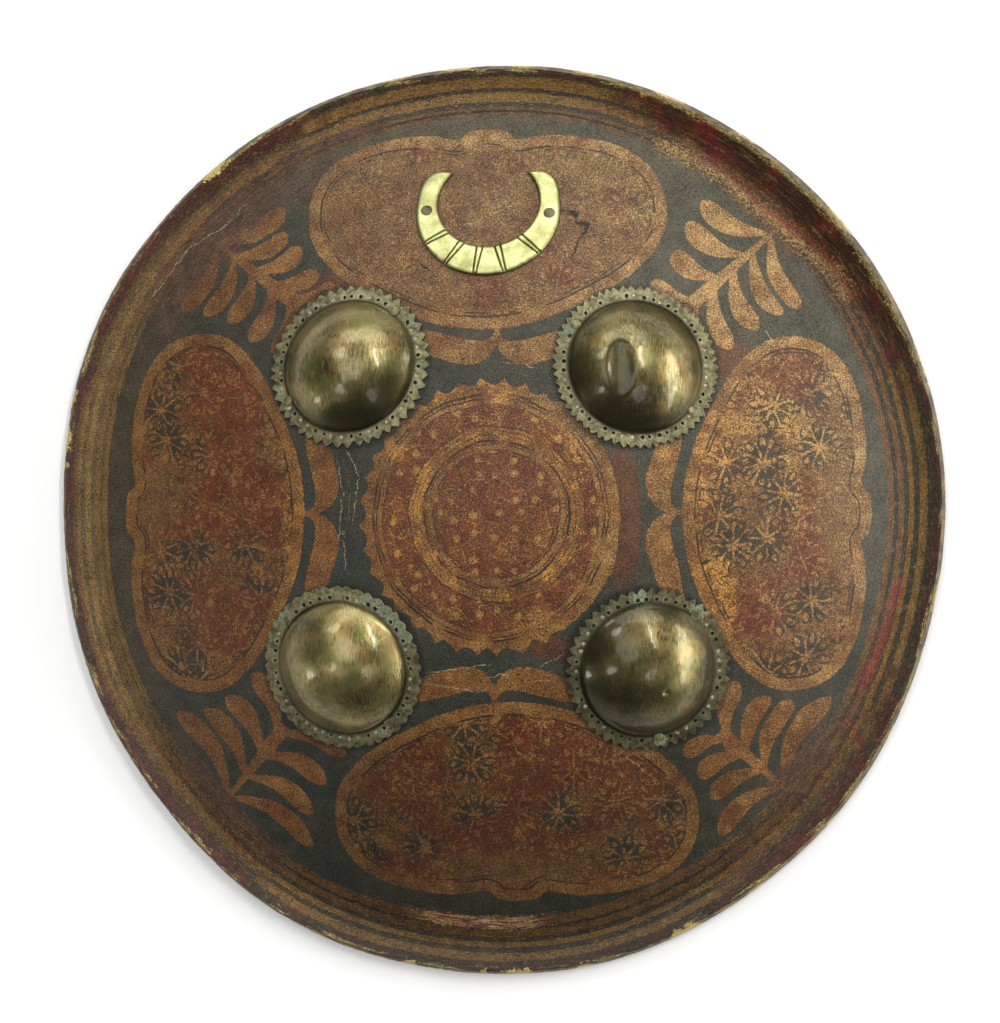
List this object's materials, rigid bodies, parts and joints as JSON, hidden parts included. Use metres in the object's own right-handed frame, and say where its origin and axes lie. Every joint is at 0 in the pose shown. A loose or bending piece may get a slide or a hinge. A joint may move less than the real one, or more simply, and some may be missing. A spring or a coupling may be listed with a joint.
{
  "type": "dhal shield",
  "caption": "Round convex hide dhal shield, lacquered and painted, with an upturned lip, pierced toothed brass bosses and a riveted brass crescent.",
  "frame": {"origin": "centre of the shield's outline, at the height of the flat ring it lies on", "axes": "+Z out through the convex painted face, square to the resting ring; +Y towards the crescent; +X to the right when facing the painted face with the crescent up"},
  "size_m": [0.4447, 0.4568, 0.0705],
  "materials": {
    "lacquered_hide": "worn lacquer over painted hide, dark and slightly glossy",
    "old_brass": "tarnished brown brass, satin",
    "bright_brass": "pale greenish brass, brushed and scratched",
    "dark_iron": "dark filed iron, dull"
  },
  "bodies": {
    "root": {"hide_shell": "lacquered_hide", "boss_upper_left": "old_brass", "boss_upper_right": "old_brass", "boss_lower_left": "old_brass", "boss_lower_right": "old_brass", "crescent": "bright_brass", "rivet_upper_left_a": "old_brass", "rivet_upper_left_b": "old_brass", "rivet_upper_right_a": "old_brass", "rivet_upper_right_b": "old_brass", "rivet_lower_left_a": "old_brass", "rivet_lower_left_b": "old_brass", "rivet_lower_right_a": "old_brass", "rivet_lower_right_b": "old_brass", "rivet_crescent_left": "dark_iron", "rivet_crescent_right": "dark_iron"}
  },
  "joints": []
}
